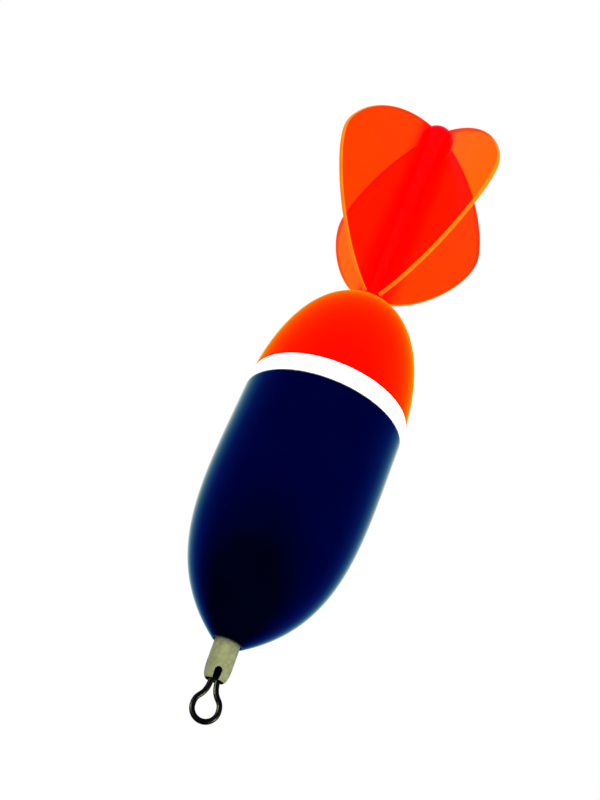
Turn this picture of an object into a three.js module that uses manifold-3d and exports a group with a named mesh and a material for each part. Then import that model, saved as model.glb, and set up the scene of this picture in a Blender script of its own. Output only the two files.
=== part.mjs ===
// A flighted bobber float: a hollow two-shell body on a central stem, a four-fin flight that
// pushes into its crown, and a swivel in a soft sleeve at its tail.
// Millimetres, +Z up. The origin is on the float's axis, level with where the line bears in the
// swivel's eye.

import * as THREE from 'three';
import { mergeVertices } from 'three/addons/utils/BufferGeometryUtils.js';
import Module from 'manifold-3d';

const wasm = await Module();
wasm.setup();

// ---- Driving dimensions. Heights are above the hull's mouth unless a comment says otherwise. ----

const gap = 0.3; // between pieces that are glued or seated on each other
const runningGap = 0.1; // round a piece that slides or turns

// Body shells
const bodyRadius = 18;
const hullLength = 53.4; // mouth to the band
const bandWidth = 4.6;
const domeHeight = 28; // band to crown
const shellWall = 1.2;
const mouthLip = 0.35; // width of the hull's flat end round its mouth
const noseDepth = 3; // solid moulding round the mouth
const seam = 0.12; // between the band and each shell
const spigotLength = 4; // of the band's inner ring, into each shell
const spigotWall = 1.2;
// Handles of the curves: shares of the body's radius, the hull's length and the height above it
const hullFlare = 1.1;
const hullFlareHeight = 0.228;
const hullFullness = 0.545;
const domeFullness = 0.56;
const crownFullness = 0.65;

// Tail sleeve
const sleeveRadius = 2.65;
const sleeveBore = 2;
const sleeveDrop = 7.7; // below the mouth
const sleeveSeat = 1.4; // above the mouth
const sleeveTaper = 3.2; // length of its rounded end
const sleeveEndRadius = 2.05;
const sleeveEndFullness = 0.35; // share of its rounded end at which its full radius is aimed
const sleeveLipBore = 1.7;
const sleeveLip = 0.6;
const notchWidth = 1.7;
const notchHeight = 2.3;
const notchFacing = THREE.MathUtils.degToRad(-123.3);

// Swivel
const wireRadius = 0.56;
const loopRadius = 2.58; // of the wire's centreline
const eyeReach = 6.54; // barrel end to the middle of the loop
const legGap = 0.1; // between the two legs of an eye
const legHold = 0.2; // the wire's ends stop this far inside the barrel's end face
const legParting = 0.78; // share of the reach over which the legs stay together
const loopShoulder = 0.57; // share of the reach at which the loop's side is aimed
const neckRadius = 0.95;
const headRadius = 1.3;
const headThickness = 0.6;
const barrelRadius = 1.72;
const barrelEndRadius = 1.4;
const barrelLength = 5.9;
const barrelWall = 0.28;
const barrelEndWall = 0.45;
const barrelClearance = 0.5; // barrel end to the sleeve's lip
const eyeTurn = THREE.MathUtils.degToRad(-33.3); // of the line eye, at rest
const eyeLean = THREE.MathUtils.degToRad(2.1); // in the barrel, beyond the swivel's own lean
const swivelLean = THREE.MathUtils.degToRad(2.8); // of the swivel and its sleeve, in the mouth

// Tail plug and its pin
const pinRadius = 0.6;
const pinLength = 14;
const plugCap = 1.4; // solid between the swivel's room and the stem's socket
const plugSocketDepth = 3.7;

// Stem and ballast
const stemRadius = 2.5;
const stemBore = 1.7;
const ballastClearance = 2.5; // its lower edge to the hull's inner wall
const ballastHeight = 5.5;

// Flight
const pegRadius = 1.9;
const pegLength = 11.3; // below the crown
const pegChamfer = 0.5;
const flightNeckRadius = 2.5;
const spineRadius = 4.2; // at the knob
const knobHeight = 57.1; // crown to the spine's rounded top
const finCount = 4;
const finThickness = 1;
const finReach = 25.9; // from the axis
const finFootHeight = 1.3; // crown to the fins' lowest point, on the axis
const finWidestHeight = 34.1; // crown to the fins' widest point
const finTopHeight = 55.4; // crown to where the fins meet the knob
// Handles of a fin's outline: shares of its reach, of its rise to the widest point and of its
// fall from there
const finSpread = 0.5;
const finSpreadHeight = 0.17;
const finFullness = 0.75;
const finShoulder = 0.3;
const finTip = 0.67;
const finTipHeight = 0.92;
const rootShare = 0.6; // of the neck's radius, where the fins start

// Flight socket, inside the crown
const socketRadius = 4.2;
const socketFlangeRadius = 7.5;
const socketFlangeRim = 1.3; // thickness of the flange at its edge
const socketWeb = 1.5; // solid between the peg's bore and the stem
const pegEndRoom = 1;
const stemSeat = 3.5; // the stem's length in the socket

// Facets
const bodySegments = 40;
const smallSegments = 24;
const wireSegments = 8;
const wireSteps = 40;
const outlineSteps = 10;
const roundingSteps = 6; // of a short rounded end
const searchSteps = 40; // halvings, when a curve is searched for a height or a radius

// The handle, as a share of the radius, that makes a cubic curve a quarter circle
const quarterHandle = (4 / 3) * (Math.SQRT2 - 1);

// ---- Heights and radii that follow from them ----

const domeStart = hullLength + bandWidth;
const crown = domeStart + domeHeight;
const mouthBore = sleeveRadius + gap;
const barrelBottom = -sleeveDrop + sleeveLip + barrelClearance;
const barrelTop = barrelBottom + barrelLength;
const eyeBearing = barrelBottom - eyeReach - loopRadius + wireRadius;
const innerLoopHeight = barrelTop + eyeReach;
const swivelRoomRadius = loopRadius + wireRadius + gap + innerLoopHeight * Math.sin(swivelLean);
const swivelRoomTop = innerLoopHeight + loopRadius + wireRadius + gap;
const pinHeight = innerLoopHeight + loopRadius - wireRadius - runningGap - pinRadius;
const plugBottom = noseDepth + gap;
const plugSocketBottom = swivelRoomTop + plugCap;
const plugTop = plugSocketBottom + plugSocketDepth;
const ballastBottom = plugTop + gap;
const pegBottom = crown - pegLength;
const pegBoreBottom = pegBottom - pegEndRoom;
const stemBottom = plugSocketBottom + gap;
const stemTop = pegBoreBottom - socketWeb - gap;
const socketBottom = stemTop - stemSeat;

// ---- Outlines of the body: the hull's curve, then the curve that the band and dome share ----

const hullCurve = new THREE.CubicBezierCurve(
  new THREE.Vector2(mouthBore + mouthLip, 0),
  new THREE.Vector2(hullFlare * bodyRadius, hullFlareHeight * hullLength),
  new THREE.Vector2(bodyRadius, hullFullness * hullLength),
  new THREE.Vector2(bodyRadius, hullLength),
);
const crownCurve = new THREE.CubicBezierCurve(
  new THREE.Vector2(bodyRadius, hullLength),
  new THREE.Vector2(bodyRadius, hullLength + domeFullness * (crown - hullLength)),
  new THREE.Vector2(crownFullness * bodyRadius, crown),
  new THREE.Vector2(0, crown),
);

// The share of the way along a curve at which it passes a height.
function shareAtHeight(curve, height) {
  let low = 0;
  let high = 1;
  for (let i = 0; i < searchSteps; i++) {
    const middle = (low + high) / 2;
    if (curve.getPoint(middle).y < height) low = middle;
    else high = middle;
  }
  return low;
}

// Points [radius, height] on a curve set in by a depth, from one share of it to another.
function setIn(curve, depth, from, to, steps = outlineSteps) {
  const points = [];
  for (let i = 0; i <= steps; i++) {
    const share = from + ((to - from) * i) / steps;
    const point = curve.getPoint(share);
    const tangent = curve.getTangent(share);
    points.push([point.x - depth * tangent.y, point.y + depth * tangent.x]);
  }
  return points;
}

// The radius of a curve set in by a depth, at a height.
function innerRadius(curve, depth, height) {
  let low = 0;
  let high = 1;
  for (let i = 0; i < searchSteps; i++) {
    const middle = (low + high) / 2;
    if (setIn(curve, depth, middle, middle, 1)[0][1] < height) low = middle;
    else high = middle;
  }
  return setIn(curve, depth, low, low, 1)[0][0];
}

// The height of the crown's surface, set in by a depth, at a radius.
function crownHeight(radius, depth) {
  let low = 0;
  let high = 1;
  for (let i = 0; i < searchSteps; i++) {
    const middle = (low + high) / 2;
    if (setIn(crownCurve, depth, middle, middle, 1)[0][0] > radius) low = middle;
    else high = middle;
  }
  return setIn(crownCurve, depth, low, low, 1)[0][1];
}

// ---- Solids ----

// Merges a geometry's shared vertices and drops triangles that have no area.
function weld(geometry) {
  const bare = geometry.clone();
  bare.deleteAttribute('normal');
  bare.deleteAttribute('uv');
  const merged = mergeVertices(bare, 1e-4);
  const corners = merged.index.array;
  const kept = [];
  for (let i = 0; i < corners.length; i += 3) {
    const [a, b, c] = [corners[i], corners[i + 1], corners[i + 2]];
    if (a !== b && b !== c && c !== a) kept.push(a, b, c);
  }
  merged.setIndex(kept);
  return merged;
}

function toSolid(geometry) {
  const welded = weld(geometry);
  return new wasm.Manifold(new wasm.Mesh({
    numProp: 3,
    vertProperties: new Float32Array(welded.attributes.position.array),
    triVerts: new Uint32Array(welded.index.array),
  }));
}

function toGeometry(solid) {
  const mesh = solid.getMesh();
  const geometry = new THREE.BufferGeometry();
  geometry.setAttribute('position', new THREE.BufferAttribute(mesh.vertProperties, 3));
  geometry.setIndex(new THREE.BufferAttribute(mesh.triVerts, 1));
  geometry.computeVertexNormals();
  return geometry;
}

// Turns an outline of [radius, height] points about Z. It runs up the outside and down the
// inside, from the axis to the axis or back to its own start.
function turned(outline, segments) {
  const points = outline.map(([radius, height]) => new THREE.Vector2(radius, height));
  const geometry = new THREE.LatheGeometry(points, segments);
  return geometry.rotateX(Math.PI / 2);
}

function ring(outline, segments) {
  return turned([...outline, outline[0]], segments);
}

function cylinder(radius, bottom, top, segments) {
  return turned([[0, bottom], [radius, bottom], [radius, top], [0, top]], segments);
}

// A flat plate from a shape in the XZ plane, centred on that plane.
function plate(shape, thickness) {
  const settings = { depth: thickness, bevelEnabled: false, curveSegments: outlineSteps };
  return new THREE.ExtrudeGeometry(shape, settings)
    .translate(0, 0, -thickness / 2)
    .rotateX(Math.PI / 2);
}

// ---- Body ----

function hull() {
  const noseShare = shareAtHeight(hullCurve, noseDepth);
  const inner = setIn(hullCurve, shellWall, 1, noseShare).filter(([, z]) => z > noseDepth);
  const outline = [
    ...setIn(hullCurve, 0, 0, 1),
    ...inner,
    [innerRadius(hullCurve, shellWall, noseDepth), noseDepth],
    [mouthBore, noseDepth],
    [mouthBore, 0],
  ];
  return ring(outline, bodySegments);
}

// The white ring between the shells, with a spigot inside them both.
function jointRing() {
  const bandBottom = hullLength + seam;
  const bandTop = domeStart - seam;
  const spigotTop = domeStart + spigotLength;
  const depth = shellWall + gap;
  const lowerRadius = bodyRadius - depth;
  const upperRadius = innerRadius(crownCurve, depth, spigotTop);
  const band = setIn(
    crownCurve, 0, shareAtHeight(crownCurve, bandBottom), shareAtHeight(crownCurve, bandTop), 3);
  const outline = [
    ...band,
    [upperRadius, bandTop],
    [upperRadius, spigotTop],
    [upperRadius - spigotWall, spigotTop],
    [upperRadius - spigotWall, hullLength - spigotLength],
    [lowerRadius, hullLength - spigotLength],
    [lowerRadius, bandBottom],
  ];
  return ring(outline, bodySegments);
}

function dome() {
  const crownHole = pegRadius + gap;
  const start = shareAtHeight(crownCurve, domeStart);
  const inside = ([radius]) => radius > crownHole;
  const outer = setIn(crownCurve, 0, start, 1).filter(inside);
  const inner = setIn(crownCurve, shellWall, 1, start).filter(inside);
  const outline = [
    ...outer,
    [crownHole, crownHeight(crownHole, 0)],
    [crownHole, crownHeight(crownHole, shellWall)],
    ...inner.slice(0, -1),
    [innerRadius(crownCurve, shellWall, domeStart), domeStart],
  ];
  return ring(outline, bodySegments);
}

function stemTube() {
  const outline = [
    [stemRadius, stemBottom],
    [stemRadius, stemTop],
    [stemBore, stemTop],
    [stemBore, stemBottom],
  ];
  return ring(outline, smallSegments);
}

// The bush under the crown: a bore for the flight's peg above, a socket for the stem below.
function flightSocket() {
  const depth = shellWall + gap;
  const bore = pegRadius + runningGap;
  const seat = stemRadius + gap;
  const flangeBottom = crownHeight(socketFlangeRadius, depth) - socketFlangeRim;
  const top = [socketFlangeRadius, (socketFlangeRadius + bore) / 2, bore];
  const outline = [
    [0, stemTop + gap],
    [seat, stemTop + gap],
    [seat, socketBottom],
    [socketRadius, socketBottom],
    [socketRadius, flangeBottom],
    [socketFlangeRadius, flangeBottom],
    ...top.map((radius) => [radius, crownHeight(radius, depth)]),
    [bore, pegBoreBottom],
    [0, pegBoreBottom],
  ];
  return turned(outline, smallSegments);
}

function ballastWeight() {
  const bore = stemRadius + gap;
  const radius = innerRadius(hullCurve, shellWall + ballastClearance, ballastBottom);
  const outline = [
    [radius, ballastBottom],
    [radius, ballastBottom + ballastHeight],
    [bore, ballastBottom + ballastHeight],
    [bore, ballastBottom],
  ];
  return ring(outline, bodySegments);
}

// ---- Tail ----

// The plug glued into the hull's nose. The swivel's upper eye hangs on a pin across its room.
function tailPlug() {
  const depth = shellWall + gap;
  const socket = stemRadius + gap / 2;
  const outer = [];
  for (let i = 0; i <= roundingSteps; i++) {
    const height = plugBottom + ((plugTop - plugBottom) * i) / roundingSteps;
    outer.push([innerRadius(hullCurve, depth, height), height]);
  }
  const outline = [
    [0, swivelRoomTop],
    [swivelRoomRadius, swivelRoomTop],
    [swivelRoomRadius, plugBottom],
    ...outer,
    [socket, plugTop],
    [socket, plugSocketBottom],
    [0, plugSocketBottom],
  ];
  const body = toSolid(turned(outline, smallSegments));
  const bore = cylinder(pinRadius + runningGap, -bodyRadius, bodyRadius, smallSegments)
    .rotateX(Math.PI / 2)
    .translate(0, 0, pinHeight);
  return toGeometry(body.subtract(toSolid(bore)));
}

function swivelPin() {
  return cylinder(pinRadius, -pinLength / 2, pinLength / 2, smallSegments)
    .rotateX(Math.PI / 2)
    .translate(0, 0, pinHeight);
}

// The soft sleeve over the swivel's barrel, with a U-shaped notch in one side of its end.
function tailSleeve() {
  const end = -sleeveDrop;
  const taper = new THREE.QuadraticBezierCurve(
    new THREE.Vector2(sleeveEndRadius, end),
    new THREE.Vector2(sleeveRadius, end + sleeveEndFullness * sleeveTaper),
    new THREE.Vector2(sleeveRadius, end + sleeveTaper),
  );
  const outline = [
    ...taper.getPoints(roundingSteps).map((point) => [point.x, point.y]),
    [sleeveRadius, sleeveSeat],
    [sleeveBore, sleeveSeat],
    [sleeveBore, end + sleeveLip],
    [sleeveLipBore, end + sleeveLip],
    [sleeveLipBore, end],
  ];
  const round = notchWidth / 2;
  const notch = new THREE.Shape();
  notch.moveTo(-round, end - gap);
  notch.lineTo(round, end - gap);
  notch.lineTo(round, end + notchHeight - round);
  notch.absarc(0, end + notchHeight - round, round, 0, Math.PI, false);
  notch.closePath();
  const cut = new THREE.ExtrudeGeometry(notch, {
    depth: 2 * sleeveRadius, bevelEnabled: false, curveSegments: roundingSteps,
  })
    .rotateX(Math.PI / 2) // now it runs from the axis towards -Y
    .rotateZ(notchFacing + Math.PI / 2);
  const sleeve = toSolid(ring(outline, smallSegments));
  return toGeometry(sleeve.subtract(toSolid(cut)));
}

function swivelBarrel() {
  const middle = (barrelBottom + barrelTop) / 2;
  const curve = new THREE.QuadraticBezierCurve(
    new THREE.Vector2(barrelEndRadius, barrelBottom),
    new THREE.Vector2(2 * barrelRadius - barrelEndRadius, middle),
    new THREE.Vector2(barrelEndRadius, barrelTop),
  );
  const neck = neckRadius + runningGap;
  const room = barrelRadius - barrelWall;
  const roomBottom = barrelBottom + barrelEndWall;
  const roomTop = barrelTop - barrelEndWall;
  const outline = [
    ...curve.getPoints(roundingSteps).map((point) => [point.x, point.y]),
    [neck, barrelTop],
    [neck, roomTop],
    [headRadius + runningGap, roomTop],
    [room, middle],
    [headRadius + runningGap, roomBottom],
    [neck, roomBottom],
    [neck, barrelBottom],
  ];
  return ring(outline, smallSegments);
}

// One eye of the swivel, hanging down from a barrel end at height 0: a wire loop in the XZ
// plane, its round neck, and the head that keeps it in the barrel.
function swivelEye() {
  const leg = wireRadius + legGap / 2;
  const side = loopRadius;
  const low = -eyeReach - loopRadius;
  const bend = quarterHandle * loopRadius;
  const point = (x, z) => new THREE.Vector3(x, 0, z);
  const path = new THREE.CurvePath();
  const top = -legHold;
  const straight = -legParting * eyeReach;
  const shoulder = -loopShoulder * eyeReach;
  path.add(new THREE.CubicBezierCurve3(
    point(leg, top), point(leg, straight), point(side, shoulder), point(side, -eyeReach)));
  path.add(new THREE.CubicBezierCurve3(
    point(side, -eyeReach), point(side, -eyeReach - bend), point(bend, low), point(0, low)));
  path.add(new THREE.CubicBezierCurve3(
    point(0, low), point(-bend, low), point(-side, -eyeReach - bend), point(-side, -eyeReach)));
  path.add(new THREE.CubicBezierCurve3(
    point(-side, -eyeReach), point(-side, shoulder), point(-leg, straight), point(-leg, top)));
  const section = new THREE.Shape().absarc(0, 0, wireRadius, 0, 2 * Math.PI, false);
  const wire = new THREE.ExtrudeGeometry(section, {
    steps: wireSteps, curveSegments: wireSegments / 2, bevelEnabled: false, extrudePath: path,
  });
  const headBottom = barrelEndWall + runningGap;
  const neck = cylinder(neckRadius, -2 * wireRadius, headBottom + headThickness / 2, smallSegments);
  const head = cylinder(headRadius, headBottom, headBottom + headThickness, smallSegments);
  return toGeometry(toSolid(wire).add(toSolid(neck)).add(toSolid(head)));
}

// ---- Flight ----

function finShape() {
  const root = rootShare * flightNeckRadius;
  const foot = crown + finFootHeight;
  const widest = crown + finWidestHeight;
  const top = crown + finTopHeight;
  const rise = widest - foot;
  const fall = top - widest;
  const shape = new THREE.Shape();
  shape.moveTo(root, foot);
  shape.bezierCurveTo(
    root + finSpread * (finReach - root), foot + finSpreadHeight * rise,
    finReach, foot + finFullness * rise,
    finReach, widest);
  shape.bezierCurveTo(
    finReach, widest + finShoulder * fall,
    finTip * finReach, widest + finTipHeight * fall,
    root, top);
  shape.closePath();
  return shape;
}

function spineOutline() {
  const knobTop = crown + knobHeight;
  const knob = new THREE.QuadraticBezierCurve(
    new THREE.Vector2(spineRadius, knobTop - spineRadius),
    new THREE.Vector2(spineRadius, knobTop),
    new THREE.Vector2(0, knobTop),
  );
  const neckBottom = crown + gap;
  return [
    [0, pegBottom],
    [pegRadius - pegChamfer, pegBottom],
    [pegRadius, pegBottom + pegChamfer],
    [pegRadius, neckBottom],
    [flightNeckRadius, neckBottom],
    [flightNeckRadius, crown + finFootHeight],
    ...knob.getPoints(roundingSteps).map((point) => [point.x, point.y]),
  ];
}

function flight() {
  let solid = toSolid(turned(spineOutline(), smallSegments));
  for (let i = 0; i < finCount; i++) {
    const angle = (2 * Math.PI * i) / finCount;
    solid = solid.add(toSolid(plate(finShape(), finThickness).rotateZ(angle)));
  }
  return toGeometry(solid);
}

// ---- Materials ----

const navyPlastic = new THREE.MeshStandardMaterial({ color: 0x05053c, roughness: 0.15 });
const redPlastic = new THREE.MeshStandardMaterial({ color: 0xff1e05, roughness: 0.2 });
const whitePlastic = new THREE.MeshStandardMaterial({ color: 0xf5f5f2, roughness: 0.3 });
const flightPlastic = new THREE.MeshStandardMaterial({ color: 0xff4600, roughness: 0.25 });
const innerPlastic = new THREE.MeshStandardMaterial({ color: 0xc9c9c4, roughness: 0.5 });
const stemFibre = new THREE.MeshStandardMaterial({ color: 0x2b2b2b, roughness: 0.5 });
const sleeveRubber = new THREE.MeshStandardMaterial({ color: 0xa0a56e, roughness: 0.7 });
const brass = new THREE.MeshStandardMaterial({ color: 0xb08d48, roughness: 0.35, metalness: 1 });
const blackNickel = new THREE.MeshStandardMaterial({ color: 0x1c1a18, roughness: 0.25, metalness: 1 });
const steel = new THREE.MeshStandardMaterial({ color: 0x9a9a98, roughness: 0.3, metalness: 1 });

function piece(name, geometry, material) {
  const mesh = new THREE.Mesh(geometry, material);
  mesh.name = name;
  return mesh;
}

// ---- Assembly ----

const float = new THREE.Group();
float.position.z = -eyeBearing;

float.add(
  piece('hull', hull(), navyPlastic),
  piece('joint_ring', jointRing(), whitePlastic),
  piece('dome', dome(), redPlastic),
  piece('stem_tube', stemTube(), stemFibre),
  piece('flight_socket', flightSocket(), innerPlastic),
  piece('ballast_weight', ballastWeight(), brass),
  piece('tail_plug', tailPlug(), innerPlastic),
  piece('swivel_pin', swivelPin(), steel),
  piece('flight', flight(), flightPlastic),
);

// Leans a piece about the origin, in the plane that stands at an angle round the axis.
function leaned(child, lean, turn) {
  const leaning = new THREE.Group();
  leaning.rotation.y = -lean;
  leaning.add(child);
  const turning = new THREE.Group();
  turning.rotation.z = turn;
  turning.add(leaning);
  return turning;
}

const innerEye = piece('swivel_inner_eye', swivelEye(), blackNickel);
innerEye.rotation.x = Math.PI;
innerEye.position.z = barrelTop;

// The line eye leans in the barrel's neck, in its own plane.
const lineEye = leaned(piece('line_eye', swivelEye(), blackNickel), eyeLean, eyeTurn);
lineEye.position.z = barrelBottom;

// The swivel and its sleeve lean together, about the middle of the hull's mouth.
const swivel = new THREE.Group();
swivel.rotation.z = -eyeTurn;
swivel.add(
  piece('tail_sleeve', tailSleeve(), sleeveRubber),
  piece('swivel_barrel', swivelBarrel(), blackNickel),
  innerEye,
  lineEye,
);
float.add(leaned(swivel, swivelLean, eyeTurn));

const part = new THREE.Group();
part.add(float);

export default part;
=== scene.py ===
import math

import bpy
from mathutils import Matrix, Vector


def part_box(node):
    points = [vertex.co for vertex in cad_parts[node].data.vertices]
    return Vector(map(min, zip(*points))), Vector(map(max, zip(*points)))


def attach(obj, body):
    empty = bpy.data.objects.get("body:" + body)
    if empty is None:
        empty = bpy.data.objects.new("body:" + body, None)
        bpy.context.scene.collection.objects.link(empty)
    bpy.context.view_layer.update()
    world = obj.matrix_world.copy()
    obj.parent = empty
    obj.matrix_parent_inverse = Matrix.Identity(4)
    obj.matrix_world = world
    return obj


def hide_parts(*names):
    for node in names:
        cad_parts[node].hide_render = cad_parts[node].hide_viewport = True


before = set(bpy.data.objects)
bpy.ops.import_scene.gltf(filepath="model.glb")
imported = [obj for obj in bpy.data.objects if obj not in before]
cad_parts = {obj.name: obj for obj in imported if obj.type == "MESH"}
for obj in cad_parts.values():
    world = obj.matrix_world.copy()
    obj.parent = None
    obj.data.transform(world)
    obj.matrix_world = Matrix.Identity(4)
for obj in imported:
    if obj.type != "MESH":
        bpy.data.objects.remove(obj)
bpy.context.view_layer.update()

MM = 0.001

# ---- Sizes, in millimetres, that go with the CAD's own ----

GAP = 0.3
SHELL_WALL = 1.2
EDGE_ROUND = 0.2          # on the shells' and the band's edges
SEAM_GAP = 0.12           # between the band and each shell
BAND_WALL = 3.0

# Shares that shape the hull's curve, then the curve that the band and dome share
MOUTH_RADIUS = 3.3
MOUTH_BORE = 2.95
HULL_FLARE = 1.1
HULL_FLARE_HEIGHT = 0.228
HULL_FULLNESS = 0.545
DOME_FULLNESS = 0.56
CROWN_FULLNESS = 0.65
CROWN_HOLE = 2.2
CROWN_DIP = 0.02          # how far the crown has fallen at its hole

# The tail's heights are along the swivel, from the middle of the hull's mouth
SLEEVE_RADIUS = 2.65
SLEEVE_BORE = 2.0
SLEEVE_SEAT = 1.4
SLEEVE_DROP = 7.7
SLEEVE_TAPER = 3.2
SLEEVE_END_RADIUS = 2.05
SLEEVE_END_FULLNESS = 0.35
SLEEVE_LIP_BORE = 1.7
SLEEVE_LIP = 0.6
SLEEVE_LIP_SLOPE = 0.05
SLEEVE_EDGE = 0.15
SLEEVE_ROWS = 20          # of points up its outside
INSIDE_SLEEVE = SLEEVE_ROWS + 2   # the first of its points that is inside, counted from its end
NOTCH_WIDTH = 1.7
NOTCH_HEIGHT = 2.3
NOTCH_FACING = math.radians(-123.3)

SWIVEL_LEAN = math.radians(2.8)
BARREL_BOTTOM = -6.6
WIRE_RADIUS = 0.56
LOOP_RADIUS = 2.58
EYE_REACH = 6.54
LEG_GAP = 0.1
LEG_HOLD = 0.2
LEG_PARTING = 0.78
LOOP_SHOULDER = 0.57
QUARTER_HANDLE = 4 / 3 * (math.sqrt(2) - 1)
EYE_NECK_RADIUS = 0.95
EYE_NECK_LENGTH = 1.12
EYE_NECK_ROUND = 0.2
EYE_NECK_TOP = 0.5        # above the barrel's lower end
EYE_TURN = math.radians(-33.3)
EYE_LEAN = math.radians(2.1)

PEG_RADIUS = 1.9
PEG_LENGTH = 11.3
PEG_CHAMFER = 0.5
NECK_RADIUS = 2.5
NECK_CHAMFER = 0.2
SPINE_RADIUS = 4.2
KNOB_HEIGHT = 57.1        # above the crown, as are the fins' heights
FIN_COUNT = 4
FIN_THICKNESS = 1.0
FIN_ROUND = 0.3
FIN_FOOT = 1.3
FIN_WIDEST = 34.1
FIN_TOP = 55.4
FIN_ROOT = 1.5
# Shares that shape a fin's lower edge, then its upper one
FIN_FOOT_REACH = 0.5
FIN_FOOT_RISE = 0.17
FIN_BELLY = 0.75
FIN_SHOULDER = 0.3
FIN_TIP_REACH = 0.67
FIN_TIP_RISE = 0.92
# Where the moulding's dense root fades out along a fin, and how much that wavers
ROOT_START = 5.0
ROOT_END = 9.5
ROOT_WAVE = 3.0

# ---- Places, from the CAD ----

SEAM_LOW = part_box("hull")[1].z / MM
SEAM_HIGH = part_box("dome")[0].z / MM
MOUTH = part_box("hull")[0].z / MM
BODY_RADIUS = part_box("joint_ring")[1].x / MM
KNOB_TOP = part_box("flight")[1].z / MM
FIN_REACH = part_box("flight")[1].x / MM
CROWN = KNOB_TOP - KNOB_HEIGHT


# ---- Curves and meshes ----

def curve(corners, steps):
    """Points along a cubic curve with these four handles, the first and last on it."""
    points = []
    for i in range(steps + 1):
        t = i / steps
        weights = ((1 - t) ** 3, 3 * (1 - t) ** 2 * t, 3 * (1 - t) * t ** 2, t ** 3)
        points.append(sum((w * Vector(c) for w, c in zip(weights, corners)), Vector(corners[0]) * 0))
    return points


def set_in(points, depth):
    """A line of (radius, height) points moved square to itself, towards its left."""
    moved = []
    for i, point in enumerate(points):
        ahead = points[min(i + 1, len(points) - 1)]
        behind = points[max(i - 1, 0)]
        along = (ahead - behind).normalized()
        moved.append(point + depth * Vector((-along.y, along.x)))
    return moved


def rounded(corner, before, after, radius, steps=5):
    """Points round a corner, which lies between two others."""
    start = corner + (before - corner).normalized() * radius
    end = corner + (after - corner).normalized() * radius
    points = []
    for i in range(steps + 1):
        t = i / steps
        points.append((1 - t) ** 2 * start + 2 * (1 - t) * t * corner + t ** 2 * end)
    return points


def piece(name, points, faces, body, smooth_angle=40):
    """A mesh from points in millimetres, which rides on a body."""
    mesh = bpy.data.meshes.new(name)
    mesh.from_pydata([Vector(p) * MM for p in points], [], faces)
    mesh.validate()
    mesh.polygons.foreach_set("use_smooth", [True] * len(mesh.polygons))
    mesh.set_sharp_from_angle(angle=math.radians(smooth_angle))
    made = bpy.data.objects.new(name, mesh)
    bpy.context.scene.collection.objects.link(made)
    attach(made, body)
    return made


def turned(name, outline, body, segments=160, smooth_angle=40):
    """An outline of (radius, height) points turned about Z. It closes on itself, or runs from
    the axis to the axis."""
    closed = outline[0][0] > 0
    points = []
    rings = []
    for radius, height in outline:
        if radius <= 0:
            rings.append([len(points)] * segments)
            points.append((0, 0, height))
            continue
        rings.append(list(range(len(points), len(points) + segments)))
        for i in range(segments):
            angle = 2 * math.pi * i / segments
            points.append((radius * math.cos(angle), radius * math.sin(angle), height))
    pairs = list(zip(rings, rings[1:]))
    if closed:
        pairs.append((rings[-1], rings[0]))
    faces = []
    for low, high in pairs:
        for i in range(segments):
            j = (i + 1) % segments
            corners = [low[i], low[j], high[j], high[i]]
            face = [c for k, c in enumerate(corners) if c != corners[k - 1]]
            faces.append(face)
    return piece(name, points, faces, body, smooth_angle)


def plate(name, outline, thickness, rounding, turn, body, steps=4):
    """A flat plate in the XZ plane with a rounded rim, turned about Z. Its first two faces are
    its flats, and the rest are its rim."""
    count = len(outline)
    middle = sum(outline, Vector((0, 0))) / count
    inward = []
    for i, point in enumerate(outline):
        along = (outline[(i + 1) % count] - outline[i - 1]).normalized()
        square = Vector((-along.y, along.x))
        inward.append(square if square.dot(middle - point) > 0 else -square)
    loops = []
    for side in (1, -1):
        for i in range(steps + 1):
            angle = math.pi / 2 * (i if side > 0 else steps - i) / steps
            depth = rounding * (1 - math.sin(angle))
            away = side * (thickness / 2 - rounding * (1 - math.cos(angle)))
            loops.append([(p + depth * n, away) for p, n in zip(outline, inward)])
    points = []
    for loop in loops:
        points += [(p.x, away, p.y) for p, away in loop]
    faces = [list(range(count)), list(range(len(points) - 1, len(points) - count - 1, -1))]
    for k in range(len(loops) - 1):
        for i in range(count):
            j = (i + 1) % count
            faces.append([k * count + i, (k + 1) * count + i, (k + 1) * count + j, k * count + j])
    spin = Matrix.Rotation(turn, 3, "Z")
    return piece(name, [spin @ Vector(p) for p in points], faces, body)


def wire_mesh(path, radius, sides=28):
    """Points and faces of a round wire along a path in the XZ plane, with flat ends."""
    points = []
    for i, point in enumerate(path):
        along = (path[min(i + 1, len(path) - 1)] - path[max(i - 1, 0)]).normalized()
        square = Vector((-along.y, along.x))
        for k in range(sides):
            angle = 2 * math.pi * k / sides
            across = radius * math.cos(angle)
            points.append((point.x + across * square.x, radius * math.sin(angle),
                           point.y + across * square.y))
    return points, row_faces(0, len(path), sides)


def drum_mesh(rows, start, sides=40):
    """Points and faces of (radius, height) rows turned about Z, with flat ends. Its points are
    numbered from a start."""
    points = []
    for radius, height in rows:
        for k in range(sides):
            angle = 2 * math.pi * k / sides
            points.append((radius * math.cos(angle), radius * math.sin(angle), height))
    return points, row_faces(start, len(rows), sides)


def row_faces(start, rows, sides):
    """Faces that join rows of points round a solid, with one more at each end."""
    faces = []
    for row in range(rows - 1):
        low = start + row * sides
        for k in range(sides):
            m = (k + 1) % sides
            faces.append([low + k, low + m, low + sides + m, low + sides + k])
    top = start + (rows - 1) * sides
    faces.append(list(reversed(range(start, start + sides))))
    faces.append(list(range(top, top + sides)))
    return faces


# ---- Materials ----

def new_material(name, **settings):
    """A material and its shader, with the shader's own sockets set by name."""
    made = bpy.data.materials.new(name)
    made.use_nodes = True
    shader = made.node_tree.nodes["Principled BSDF"]
    for socket, value in settings.items():
        shader.inputs[socket.replace("_", " ")].default_value = value
    return made, shader


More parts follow.
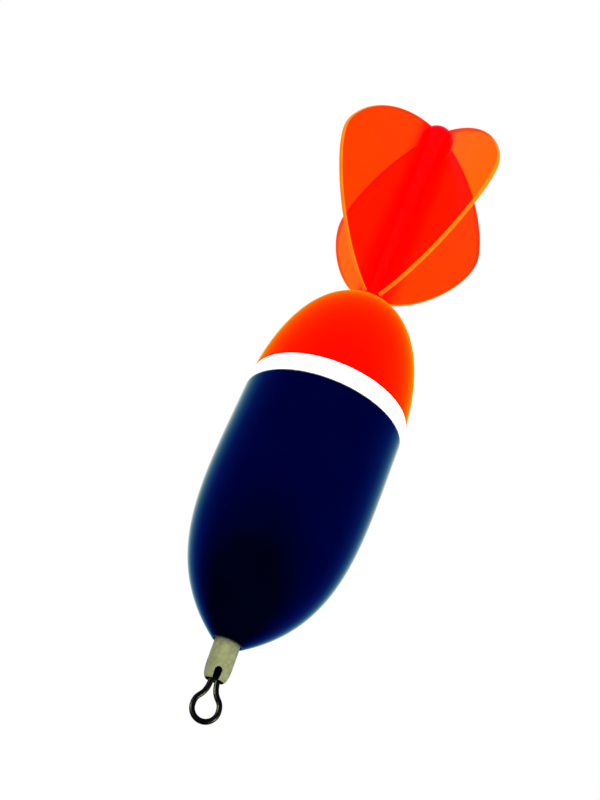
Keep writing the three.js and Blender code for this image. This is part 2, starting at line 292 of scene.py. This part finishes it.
def plug(made, socket, value):
    """Link another node's output to a socket, or set the socket to a value."""
    if isinstance(value, bpy.types.NodeSocket):
        made.node_tree.links.new(value, socket)
    else:
        socket.default_value = value


def add(made, kind, **inputs):
    """A node, with its inputs set to values or linked to other nodes' outputs."""
    node = made.node_tree.nodes.new(kind)
    for name, value in inputs.items():
        plug(made, node.inputs[name.replace("_", " ")], value)
    return node


def worked_out(made, kind, operation, *values):
    """What a maths node makes of numbers, vectors or other nodes' outputs."""
    node = made.node_tree.nodes.new(kind)
    node.operation = operation
    for socket, value in zip(node.inputs, values):
        plug(made, socket, value)
    return node


def fade(made, value, start, end, interpolation="LINEAR"):
    """1 up to a start, falling to 0 at an end."""
    node = add(made, "ShaderNodeMapRange", Value=value, From_Min=start, From_Max=end, To_Min=1, To_Max=0)
    node.interpolation_type = interpolation
    return node.outputs["Result"]


def places(made, stretch=(1, 1, 1)):
    """Object coordinates in millimetres, stretched along each axis."""
    where = add(made, "ShaderNodeTexCoord").outputs["Object"]
    scaled = add(made, "ShaderNodeMapping", Vector=where)
    scaled.inputs["Scale"].default_value = [s / MM for s in stretch]
    return scaled.outputs["Vector"]


def noise(made, size, detail=4.0, roughness=0.5, stretch=(1, 1, 1)):
    """Noise whose features are about size millimetres across."""
    node = add(made, "ShaderNodeTexNoise", Vector=places(made, stretch), Scale=1 / size,
               Detail=detail, Roughness=roughness)
    return node.outputs["Fac"]


def grains(made, size):
    """Distance from the nearest of many scattered points, in grains of about size millimetres."""
    node = add(made, "ShaderNodeTexVoronoi", Vector=places(made), Scale=1 / size)
    return node.outputs["Distance"]


def ramp(made, source, *stops):
    """A colour ramp. Each stop is a place from 0 to 1 and a grey or an (r, g, b)."""
    node = add(made, "ShaderNodeValToRGB", Fac=source)
    marks = node.color_ramp.elements
    while len(marks) < len(stops):
        marks.new(0.5)
    for mark, (place, value) in zip(marks, stops):
        mark.position = place
        colour = value if isinstance(value, tuple) else (value, value, value)
        mark.color = (*colour, 1)
    return node.outputs["Color"]


def mixed(made, share, first, second, how="MIX"):
    """Two colours mixed by a share, which may be a number or another node's output."""
    node = made.node_tree.nodes.new("ShaderNodeMix")
    node.data_type = "RGBA"
    node.blend_type = how
    plug(made, node.inputs[0], share)
    for socket, value in ((node.inputs[6], first), (node.inputs[7], second)):
        plug(made, socket, (*value, 1) if isinstance(value, tuple) else value)
    return node.outputs[2]


def connect(made, source, shader, socket):
    made.node_tree.links.new(source, shader.inputs[socket])


def bump(made, shader, *layers):
    """Bumps one over another. Each layer is a height from 0 to 1 and its depth in millimetres."""
    normal = None
    for height, depth in layers:
        node = add(made, "ShaderNodeBump", Height=height, Distance=depth * MM, Strength=1.0)
        if normal is not None:
            made.node_tree.links.new(normal, node.inputs["Normal"])
        normal = node.outputs["Normal"]
    made.node_tree.links.new(normal, shader.inputs["Normal"])


def height_of(made):
    """Height above the origin in millimetres, from the piece's own coordinates."""
    return add(made, "ShaderNodeSeparateXYZ", Vector=places(made)).outputs["Z"]


def band_mask(made, low, high, soft):
    """1 between two heights in millimetres, falling to 0 over a soft distance outside them."""
    half = (high - low) / 2
    above = worked_out(made, "ShaderNodeMath", "SUBTRACT", height_of(made), low + half).outputs[0]
    away = worked_out(made, "ShaderNodeMath", "ABSOLUTE", above).outputs[0]
    return fade(made, away, half, half + soft)


def navy_lacquer():
    made, shader = new_material("navy_lacquer", IOR=1.5, Specular_Tint=(0.02, 0.06, 1, 1))
    cloud = noise(made, 9, detail=3)
    colour = ramp(made, cloud, (0.3, (0.0, 0.0002, 0.003)), (0.7, (0.0, 0.0004, 0.005)))
    dust = ramp(made, grains(made, 2.6), (0.0, 1.0), (0.035, 0.0))
    specked = mixed(made, dust, colour, (0.004, 0.006, 0.03))
    connect(made, specked, shader, "Base Color")
    rubbed = noise(made, 3, detail=6, roughness=0.7)
    connect(made, ramp(made, rubbed, (0.35, 0.05), (0.75, 0.13)), shader, "Roughness")
    bump(made, shader, (noise(made, 1.6, detail=2), 0.006), (dust, 0.01))
    return made


def white_band():
    made, shader = new_material("white_band", IOR=1.48)
    # Painted shade: the band is painted darker near both seams, where it meets the shells.
    seam_shade = mixed(made, band_mask(made, SEAM_LOW + 0.3, SEAM_HIGH - 0.3, 0.35),
                      (0.62, 0.6, 0.55), (0.95, 0.95, 0.94))
    cloud = ramp(made, noise(made, 5), (0.3, (0.97, 0.97, 0.96)), (0.7, (1.0, 1.0, 1.0)))
    connect(made, mixed(made, 1.0, seam_shade, cloud, "MULTIPLY"), shader, "Base Color")
    connect(made, ramp(made, noise(made, 2, detail=5), (0.3, 0.14), (0.7, 0.24)), shader, "Roughness")
    bump(made, shader, (noise(made, 1.4, detail=2), 0.006))
    return made


def red_plastic():
    # The faint red emission is a painted glow.
    made, shader = new_material("red_plastic", IOR=1.45, Specular_IOR_Level=0.0, Metallic=0.2,
                                Specular_Tint=(1, 0.45, 0, 1), Sheen_Weight=0.65,
                                Sheen_Roughness=0.33, Sheen_Tint=(1, 0.65, 0, 1),
                                Emission_Strength=0.15, Emission_Color=(1, 0, 0, 1))
    swirl = noise(made, 7, detail=3, stretch=(1, 1, 0.4))
    colour = ramp(made, swirl, (0.3, (0.9, 0.0, 0.0)), (0.7, (1.0, 0.001, 0.0)))
    specks = ramp(made, grains(made, 2.2), (0.0, 1.0), (0.04, 0.0))
    connect(made, mixed(made, specks, colour, (0.45, 0.0, 0.0)), shader, "Base Color")
    connect(made, ramp(made, noise(made, 3, detail=6), (0.3, 0.08), (0.75, 0.18)), shader, "Roughness")
    bump(made, shader, (noise(made, 1.8, detail=2), 0.008), (specks, 0.01))
    return made


def root_share(made, flow):
    """1 near the float's axis, where the moulding is thick, falling to 0 out along a fin."""
    flat = add(made, "ShaderNodeMapping", Vector=places(made), Scale=(1, 1, 0)).outputs["Vector"]
    out = worked_out(made, "ShaderNodeVectorMath", "LENGTH", flat).outputs["Value"]
    wavy = worked_out(made, "ShaderNodeMath", "MULTIPLY_ADD", flow, ROOT_WAVE, out).outputs[0]
    return fade(made, wavy, ROOT_START, ROOT_END, "SMOOTHSTEP")


def see_through(name, tint, dense_tint, solid, solid_share):
    """Clear coloured moulding: light passes tinted, and a share is solid colour with a gloss and a painted
    glow in that colour.
    """
    # The emission in the solid colour is a painted glow.
    made, shader = new_material(name, IOR=1.45, Specular_IOR_Level=0.2,
                                Specular_Tint=(1, 0.35, 0.05, 1), Emission_Strength=0.2,
                                Emission_Color=(*solid, 1))
    nodes = made.node_tree.nodes
    flow = noise(made, 6, detail=4, stretch=(1, 1, 0.5))
    clouds = mixed(made, root_share(made, flow), tint, dense_tint)
    specks = ramp(made, grains(made, 1.9), (0.0, 1.0), (0.06, 0.0))
    rare = ramp(made, noise(made, 2.3, detail=1), (0.6, 0.0), (0.64, 1.0))
    chosen = mixed(made, 1.0, specks, rare, "MULTIPLY")
    passing = mixed(made, chosen, clouds, (0.5, 0.0, 0.0))
    clear = nodes.new("ShaderNodeBsdfTransparent")
    made.node_tree.links.new(passing, clear.inputs["Color"])
    blotchy = ramp(made, noise(made, 4, detail=3), (0.3, tuple(0.85 * c for c in solid)), (0.7, solid))
    connect(made, mixed(made, chosen, blotchy, (0.3, 0.0, 0.0)), shader, "Base Color")
    connect(made, ramp(made, noise(made, 1.5, detail=5), (0.3, 0.08), (0.8, 0.22)), shader, "Roughness")
    bump(made, shader, (noise(made, 3.5, detail=2), 0.02), (chosen, 0.02))
    mix = nodes.new("ShaderNodeMixShader")
    made.node_tree.links.new(clear.outputs[0], mix.inputs[1])
    made.node_tree.links.new(shader.outputs[0], mix.inputs[2])
    share = ramp(made, noise(made, 5, detail=4), (0.25, solid_share * 0.85), (0.8, solid_share * 1.15))
    made.node_tree.links.new(share, mix.inputs[0])
    made.node_tree.links.new(mix.outputs[0], nodes["Material Output"].inputs["Surface"])
    return made


def sleeve_rubber():
    made, shader = new_material("sleeve_rubber", IOR=1.4, Subsurface_Weight=0.1,
                                Subsurface_Scale=0.0006, Sheen_Weight=0.1)
    cloud = noise(made, 1.3, detail=6, roughness=0.65)
    colour = ramp(made, cloud, (0.3, (0.11, 0.12, 0.045)), (0.55, (0.17, 0.185, 0.077)),
                  (0.8, (0.22, 0.235, 0.11)))
    pits = ramp(made, grains(made, 0.9), (0.0, 1.0), (0.12, 0.0))
    rare = ramp(made, noise(made, 1.1, detail=1), (0.5, 0.0), (0.56, 1.0))
    chosen = mixed(made, 1.0, pits, rare, "MULTIPLY")
    pitted = mixed(made, chosen, colour, (0.04, 0.04, 0.02))
    # Painted shade: the sleeve is painted dark, in patches, near its top where it goes into the hull's mouth.
    mouth_shade = band_mask(made, MOUTH - 0.3, MOUTH + 3, 0.9)
    mouth_shaded = mixed(made, mixed(made, 1.0, mouth_shade, noise(made, 0.5), "MULTIPLY"), pitted, (0.05, 0.045, 0.03))
    connect(made, mouth_shaded, shader, "Base Color")
    connect(made, ramp(made, cloud, (0.3, 0.5), (0.8, 0.75)), shader, "Roughness")
    fine = noise(made, 0.22, detail=4, roughness=0.7)
    bump(made, shader, (fine, 0.02), (cloud, 0.05), (ramp(made, chosen, (0.0, 1.0), (1.0, 0.0)), 0.08))
    return made


def metal(name, low, high, rough_low, rough_high, grain, stretch=(1, 1, 1), depth=0.003,
          edge=(1, 1, 1)):
    """A plated or turned metal with tarnish and fine tool marks. Its edges mirror in their tint."""
    made, shader = new_material(name, Metallic=1.0, Specular_Tint=(*edge, 1))
    connect(made, ramp(made, noise(made, grain, detail=5), (0.3, low), (0.7, high)), shader, "Base Color")
    marks = noise(made, grain / 3, detail=6, roughness=0.7, stretch=stretch)
    connect(made, ramp(made, marks, (0.3, rough_low), (0.75, rough_high)), shader, "Roughness")
    bump(made, shader, (marks, depth))
    return made


def moulding(name, low, high, rough_low, rough_high, stretch=(1, 1, 1)):
    """A plain moulded plastic or fibre with mottled colour and a faint grain."""
    made, shader = new_material(name, IOR=1.46)
    mottle = noise(made, 4, detail=5, stretch=stretch)
    connect(made, ramp(made, mottle, (0.3, low), (0.7, high)), shader, "Base Color")
    grain = noise(made, 0.5, detail=5, roughness=0.6, stretch=stretch)
    connect(made, ramp(made, grain, (0.3, rough_low), (0.7, rough_high)), shader, "Roughness")
    bump(made, shader, (grain, 0.015))
    return made


RED = (1.0, 0.003, 0.0)
DEEP_RED = (1.0, 0.0005, 0.0)
# Painted highlight: the fins' rims are painted pale orange, mostly solid and glowing, for the bright light
# along their edges.
RIM_HIGHLIGHT_ORANGE = (1.0, 0.16, 0.003)
LOOKS = {
    "hull": navy_lacquer(),
    "band": white_band(),
    "dome": red_plastic(),
    "fin": see_through("fin_plastic", (1.0, 0.28, 0.0), (1.0, 0.08, 0.0), RED, 0.2),
    # Painted light: every other fin is a paler copy of the same plastic, as if more light came through it.
    "painted_lit_fin": see_through("painted_lit_fin_plastic", (1.0, 0.46, 0.0), (1.0, 0.12, 0.0), RED, 0.2),
    "fin_rim": see_through("fin_rim_highlight_plastic", (1.0, 0.45, 0.0), (1.0, 0.35, 0.0), RIM_HIGHLIGHT_ORANGE, 0.8),
    "spine": see_through("spine_plastic", (1.0, 0.02, 0.0), (1.0, 0.01, 0.0), DEEP_RED, 0.6),
    "sleeve": sleeve_rubber(),
    # Painted shade: the sleeve's inside is painted near black, for the shade in its bore.
    "bore": moulding("sleeve_bore_painted_shade", (0.004, 0.004, 0.003), (0.02, 0.02, 0.012), 0.6, 0.8),
    "wire": metal("black_nickel", (0.02, 0.019, 0.008), (0.05, 0.047, 0.02), 0.3, 0.42, 1.5,
                  depth=0.001, edge=(0.8, 0.75, 0.4)),
    "brass": metal("turned_brass", (0.5, 0.33, 0.1), (0.65, 0.45, 0.17), 0.25, 0.45, 2, (0.2, 0.2, 4), 0.01),
    "steel": metal("plain_steel", (0.42, 0.41, 0.4), (0.6, 0.59, 0.58), 0.2, 0.4, 1, (4, 0.2, 4)),
    "inner": moulding("inner_plastic", (0.52, 0.51, 0.47), (0.64, 0.63, 0.6), 0.4, 0.6),
    "fibre": moulding("stem_fibre", (0.015, 0.015, 0.015), (0.04, 0.04, 0.038), 0.35, 0.6, (3, 3, 0.1)),
}


def paint(made, *looks):
    made.data.materials.clear()
    for look in looks:
        made.data.materials.append(LOOKS[look])


# ---- Body ----

def hull_line(steps=96):
    length = SEAM_LOW - MOUTH
    return curve([
        (MOUTH_RADIUS, MOUTH),
        (HULL_FLARE * BODY_RADIUS, MOUTH + HULL_FLARE_HEIGHT * length),
        (BODY_RADIUS, MOUTH + HULL_FULLNESS * length),
        (BODY_RADIUS, SEAM_LOW),
    ], steps)


def crown_line(steps=96):
    rise = CROWN - SEAM_LOW
    return curve([
        (BODY_RADIUS, SEAM_LOW),
        (BODY_RADIUS, SEAM_LOW + DOME_FULLNESS * rise),
        (CROWN_FULLNESS * BODY_RADIUS, CROWN),
        (0, CROWN),
    ], steps)


def part_of(line, low, high):
    """The stretch of a rising line between two heights, with its ends on them."""
    found = []
    for first, second in zip(line, line[1:]):
        for height in (low, high):
            if first.y < height <= second.y:
                found.append(first.lerp(second, (height - first.y) / (second.y - first.y)))
        if low < second.y < high:
            found.append(second)
    return sorted(found, key=lambda point: point.y)


def shell_outline(outer, inner):
    """A closed outline up the outside and down the inside, with its outer corners rounded."""
    bottom = rounded(outer[0], inner[0], outer[1], EDGE_ROUND)
    top = rounded(outer[-1], outer[-2], inner[-1], EDGE_ROUND)
    body = [p for p in outer[1:-1] if bottom[-1].y < p.y < top[0].y or p.x > top[0].x]
    return [*bottom, *body, *top, *reversed(inner)]


def hull_shell():
    outer = hull_line()
    inner = [p for p in set_in(outer, SHELL_WALL) if p.y > MOUTH + SHELL_WALL]
    inner = [Vector((MOUTH_BORE, MOUTH)), Vector((MOUTH_BORE, inner[0].y)), *inner]
    inner[-1] = Vector((BODY_RADIUS - SHELL_WALL, SEAM_LOW))
    made = turned("hull_shell", shell_outline(outer, inner), "float")
    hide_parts("hull")
    paint(made, "hull")


def band_ring():
    outer = part_of(crown_line(), SEAM_LOW + SEAM_GAP, SEAM_HIGH - SEAM_GAP)
    bore = BODY_RADIUS - BAND_WALL
    inner = [Vector((bore, outer[0].y)), Vector((bore, outer[-1].y))]
    made = turned("white_ring", shell_outline(outer, inner), "float")
    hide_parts("joint_ring")
    paint(made, "band")


def dome_shell():
    outer = [p for p in crown_line() if p.y > SEAM_HIGH and p.x > CROWN_HOLE]
    start = part_of(crown_line(), SEAM_HIGH, CROWN)[0]
    outer = [start, *outer, Vector((CROWN_HOLE, CROWN - CROWN_DIP))]
    inner = [Vector((start.x - SHELL_WALL, SEAM_HIGH)), *set_in(outer, SHELL_WALL)[1:-1],
             Vector((CROWN_HOLE, CROWN - SHELL_WALL))]
    inner = [p for p in inner if p.x >= CROWN_HOLE]
    bottom = rounded(outer[0], inner[0], outer[1], EDGE_ROUND)
    top = rounded(outer[-1], outer[-2], inner[-1], EDGE_ROUND)
    body = [p for p in outer[1:-1] if p.y > bottom[-1].y and p.x > top[0].x]
    outline = [*bottom, *body, *top, *reversed(inner)]
    made = turned("dome_shell", outline, "float")
    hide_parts("dome")
    paint(made, "dome")


# ---- Tail ----

def swivel_place():
    """Where the swivel's own frame stands: in the hull's mouth, leaning to one side."""
    return (Matrix.Translation((0, 0, MOUTH)) @ Matrix.Rotation(EYE_TURN, 4, "Z")
            @ Matrix.Rotation(-SWIVEL_LEAN, 4, "Y"))


def sleeve_outer(height):
    """The sleeve's outer radius at a height: straight, with a rounded end."""
    end = -SLEEVE_DROP
    line = curve([
        (SLEEVE_END_RADIUS, end),
        (SLEEVE_END_RADIUS + 2 / 3 * (SLEEVE_RADIUS - SLEEVE_END_RADIUS),
         end + 2 / 3 * SLEEVE_END_FULLNESS * SLEEVE_TAPER),
        (SLEEVE_RADIUS, end + (1 + 2 * SLEEVE_END_FULLNESS) / 3 * SLEEVE_TAPER),
        (SLEEVE_RADIUS, end + SLEEVE_TAPER),
    ], 40)
    for first, second in zip(line, line[1:]):
        if height <= second.y:
            share = max(0, (height - first.y) / (second.y - first.y))
            return first.x + share * (second.x - first.x)
    return SLEEVE_RADIUS


def sleeve_column(angle):
    """The (radius, height) points round the sleeve's wall at one angle, from its end upwards."""
    end = -SLEEVE_DROP
    half = NOTCH_WIDTH / 2
    away = math.remainder(angle - NOTCH_FACING, 2 * math.pi)
    aside = SLEEVE_RADIUS * math.sin(away)
    lift = 0.0
    if abs(away) < math.pi / 2 and abs(aside) < half:
        lift = NOTCH_HEIGHT - half + math.sqrt(half ** 2 - aside ** 2)
    edge = end + lift
    points = [(sleeve_outer(edge) - SLEEVE_EDGE, edge), (sleeve_outer(edge), edge + SLEEVE_EDGE)]
    for i in range(1, SLEEVE_ROWS + 1):
        height = edge + SLEEVE_EDGE + (SLEEVE_SEAT - edge - SLEEVE_EDGE) * i / SLEEVE_ROWS
        points.append((sleeve_outer(height), height))
    points.append((SLEEVE_BORE, SLEEVE_SEAT))
    lip_top = max(end + SLEEVE_LIP, edge + SLEEVE_EDGE)
    lip_bore = SLEEVE_LIP_BORE if lift == 0 else SLEEVE_BORE
    points += [(SLEEVE_BORE, lip_top + SLEEVE_LIP_SLOPE), (lip_bore, lip_top), (lip_bore, edge + SLEEVE_EDGE)]
    points.append((lip_bore + SLEEVE_EDGE, edge))
    return points


def sleeve():
    count = 360
    columns = []
    for i in range(count):
        angle = 2 * math.pi * i / count
        round_it = swivel_place() @ Matrix.Rotation(angle - EYE_TURN, 4, "Z")
        columns.append([round_it @ Vector((radius, 0, height)) for radius, height in sleeve_column(angle)])
    size = len(columns[0])
    points = [point for column in columns for point in column]
    faces = []
    for i in range(count):
        j = (i + 1) % count
        for k in range(size):
            m = (k + 1) % size
            faces.append([i * size + k, j * size + k, j * size + m, i * size + m])
    made = piece("sleeve_skin", points, faces, "float", 50)
    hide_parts("tail_sleeve")
    paint(made, "sleeve", "bore")
    # The faces inside the sleeve take the painted shade.
    inside = range(INSIDE_SLEEVE, size)
    for i, polygon in enumerate(made.data.polygons):
        polygon.material_index = int(i % size in inside)


def eye_path():
    """The wire's centreline in the XZ plane, hanging from height 0."""
    leg = WIRE_RADIUS + LEG_GAP / 2
    low = -EYE_REACH - LOOP_RADIUS
    handle = QUARTER_HANDLE * LOOP_RADIUS
    right = curve([
        (leg, -LEG_HOLD), (leg, -LEG_PARTING * EYE_REACH),
        (LOOP_RADIUS, -LOOP_SHOULDER * EYE_REACH), (LOOP_RADIUS, -EYE_REACH),
    ], 60)
    under = curve([
        (LOOP_RADIUS, -EYE_REACH), (LOOP_RADIUS, -EYE_REACH - handle), (handle, low), (0, low),
    ], 40)
    half = [*right, *under[1:]]
    other = [Vector((-p.x, p.y)) for p in reversed(half[:-1])]
    return [*half, *other]


def line_eye():
    points, faces = wire_mesh(eye_path(), WIRE_RADIUS)
    neck = [(EYE_NECK_RADIUS - EYE_NECK_ROUND, -EYE_NECK_LENGTH),
            (EYE_NECK_RADIUS, -EYE_NECK_LENGTH + EYE_NECK_ROUND), (EYE_NECK_RADIUS, EYE_NECK_TOP)]
    neck_points, neck_faces = drum_mesh(neck, len(points))
    place = (swivel_place() @ Matrix.Translation((0, 0, BARREL_BOTTOM))
             @ Matrix.Rotation(-EYE_LEAN, 4, "Y"))
    placed = [place @ Vector(p) for p in points + neck_points]
    made = piece("wire_eye", placed, faces + neck_faces, "line_eye")
    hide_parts("line_eye")
    paint(made, "wire")


# ---- Flight ----

def spine():
    knob = [Vector(p) for p in curve([
        (SPINE_RADIUS, KNOB_TOP - SPINE_RADIUS), (SPINE_RADIUS, KNOB_TOP - SPINE_RADIUS / 3),
        (SPINE_RADIUS / 3, KNOB_TOP), (0, KNOB_TOP),
    ], 24)]
    peg_bottom = CROWN - PEG_LENGTH
    outline = [
        Vector((0, peg_bottom)), Vector((PEG_RADIUS - PEG_CHAMFER, peg_bottom)),
        Vector((PEG_RADIUS, peg_bottom + PEG_CHAMFER)), Vector((PEG_RADIUS, CROWN + GAP)),
        Vector((NECK_RADIUS - NECK_CHAMFER, CROWN + GAP)),
        Vector((NECK_RADIUS, CROWN + GAP + NECK_CHAMFER)),
        Vector((NECK_RADIUS, CROWN + FIN_FOOT)), *knob,
    ]
    made = turned("flight_spine", outline, "flight", 96)
    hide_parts("flight")
    paint(made, "spine")


def fin_outline():
    foot = CROWN + FIN_FOOT
    widest = CROWN + FIN_WIDEST
    top = CROWN + FIN_TOP
    rise = widest - foot
    fall = top - widest
    lower = curve([
        (FIN_ROOT, foot),
        (FIN_ROOT + FIN_FOOT_REACH * (FIN_REACH - FIN_ROOT), foot + FIN_FOOT_RISE * rise),
        (FIN_REACH, foot + FIN_BELLY * rise),
        (FIN_REACH, widest),
    ], 48)
    upper = curve([
        (FIN_REACH, widest),
        (FIN_REACH, widest + FIN_SHOULDER * fall),
        (FIN_TIP_REACH * FIN_REACH, widest + FIN_TIP_RISE * fall),
        (FIN_ROOT, top),
    ], 48)
    return [*lower, *upper[1:]]


def flight():
    spine()
    for i in range(FIN_COUNT):
        turn = 2 * math.pi * i / FIN_COUNT
        fin = plate(f"fin_{i + 1}", fin_outline(), FIN_THICKNESS, FIN_ROUND, turn, "flight")
        # Every other fin takes the paler painted-light tint, and each rim the painted highlight.
        paint(fin, "painted_lit_fin" if i % 2 else "fin", "fin_rim")
        for face in fin.data.polygons[2:]:
            face.material_index = 1


# ---- Pieces that the CAD shapes well enough ----

CARRIED_OVER = {
    "stem_tube": "fibre",
    "flight_socket": "inner",
    "ballast_weight": "brass",
    "tail_plug": "inner",
    "swivel_pin": "steel",
    "swivel_barrel": "wire",
    "swivel_inner_eye": "wire",
}


# ---- Studio ----

AIM = (0, 0, 0.08)
WIRE_AIM = (0, 0, 0.005)
BEHIND = (0.486, 0.736, 0.472)
BELOW = (-0.3, -0.2, -0.93)
CAMERA_PLACE = (-126.5, -181.04, -47.37)
CAMERA_AZIMUTH = math.radians(-33.436)
CAMERA_ELEVATION = math.radians(-28.174)
CAMERA_ROLL = math.radians(-23.344)
CAMERA_LENS = 51.75

def facing(made, way, toward):
    """How nearly a direction runs along another: the cosine of the angle between them."""
    unit = Vector(toward).normalized()
    return worked_out(made, "ShaderNodeVectorMath", "DOT_PRODUCT", way, unit).outputs["Value"]


def plane(name, size, place):
    mesh = bpy.data.meshes.new(name)
    half = size / 2
    mesh.from_pydata([(-half, -half, 0), (half, -half, 0), (half, half, 0), (-half, half, 0)], [],
                     [(0, 1, 2, 3)])
    made = bpy.data.objects.new(name, mesh)
    made.location = place
    bpy.context.scene.collection.objects.link(made)
    return made


def floor():
    made = plane("floor", 6.0, (0, 0, -0.3))
    made.visible_glossy = False
    paper, shader = new_material("floor_paper", Roughness=0.8)
    connect(paper, ramp(paper, noise(paper, 40), (0.3, 0.8), (0.7, 0.84)), shader, "Base Color")
    made.data.materials.append(paper)


def area_light(name, place, aim, size, depth, power):
    """A flat light aimed at a point, which the camera doesn't see."""
    light = bpy.data.lights.new(name, "AREA")
    light.shape = "RECTANGLE"
    light.size = size
    light.size_y = depth
    light.energy = power
    made = bpy.data.objects.new(name, light)
    made.location = place
    made.rotation_euler = (Vector(aim) - Vector(place)).to_track_quat("-Z", "Y").to_euler()
    made.visible_camera = False
    bpy.context.scene.collection.objects.link(made)
    return made


def softbox(name, place, size, power):
    """A square light on the whole float, which no gloss mirrors."""
    made = area_light(name, place, AIM, size, size, power)
    made.visible_glossy = False


def wire_strip(name, place, size, power, lit):
    """A narrow light for one piece alone, which draws a streak along its gloss."""
    made = area_light(name, place, WIRE_AIM, size, size / 5, power)
    only = bpy.data.collections.new(name + "_lights")
    only.objects.link(lit)
    made.light_linking.receiver_collection = only


def backdrop():
    """A white background. What the gloss mirrors is blue, but bright behind the float and black
    below it."""
    made = bpy.data.worlds.new("white_studio")
    bpy.context.scene.world = made
    made.use_nodes = True
    nodes = made.node_tree.nodes
    way = nodes.new("ShaderNodeTexCoord").outputs["Generated"]
    behind = ramp(made, facing(made, way, BEHIND), (0.0, (0.0, 0.02, 0.65)),
                  (0.5, (0.02, 0.12, 0.85)), (0.69, (0.07, 0.37, 0.85)), (0.8, (0.2, 0.6, 0.95)),
                  (0.9, (0.6, 0.9, 0.9)), (0.97, (1.2, 1.3, 1.3)))
    below = ramp(made, facing(made, way, BELOW), (0.05, 1.0), (0.44, 0.34),
                 (0.56, 0.12), (0.63, 0.0))
    mirrored = mixed(made, 1.0, behind, below, "MULTIPLY")
    by_gloss = nodes.new("ShaderNodeLightPath").outputs["Is Glossy Ray"]
    seen = mixed(made, by_gloss, (1.0, 1.0, 1.0), mirrored)
    made.node_tree.links.new(seen, nodes["Background"].inputs["Color"])
    nodes["Background"].inputs["Strength"].default_value = 1.0


def studio():
    floor()
    softbox("key", (-0.45, -0.35, 0.25), 0.5, 3.2)
    softbox("fill", (0.15, -0.6, 0.0), 0.5, 3.2)
    softbox("back", (0.4, 0.5, 0.3), 0.6, 3.2)
    for name, place in (("left_strip", (-0.3, 0.05, -0.02)), ("right_strip", (0.2, -0.25, -0.1))):
        wire_strip(name, place, 0.2, 0.9, bpy.data.objects["wire_eye"])
    backdrop()


def camera():
    """A view from the tail's side and below, rolled so that the float leans right."""
    level_share = math.cos(CAMERA_ELEVATION)
    back = Vector((math.sin(CAMERA_AZIMUTH) * level_share, -math.cos(CAMERA_AZIMUTH) * level_share,
                   math.sin(CAMERA_ELEVATION)))
    data = bpy.data.cameras.new("camera")
    data.lens = CAMERA_LENS
    data.clip_start = 0.01
    made = bpy.data.objects.new("camera", data)
    place = Matrix.Translation(Vector(CAMERA_PLACE) * MM)
    level = back.to_track_quat("Z", "Y").to_matrix().to_4x4()
    made.matrix_world = place @ level @ Matrix.Rotation(-CAMERA_ROLL, 4, "Z")
    bpy.context.scene.collection.objects.link(made)
    bpy.context.scene.camera = made


hull_shell()
band_ring()
dome_shell()
sleeve()
line_eye()
flight()
for node, look in CARRIED_OVER.items():
    paint(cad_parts[node], look)
studio()
camera()
bpy.context.scene.view_settings.view_transform = "Standard"
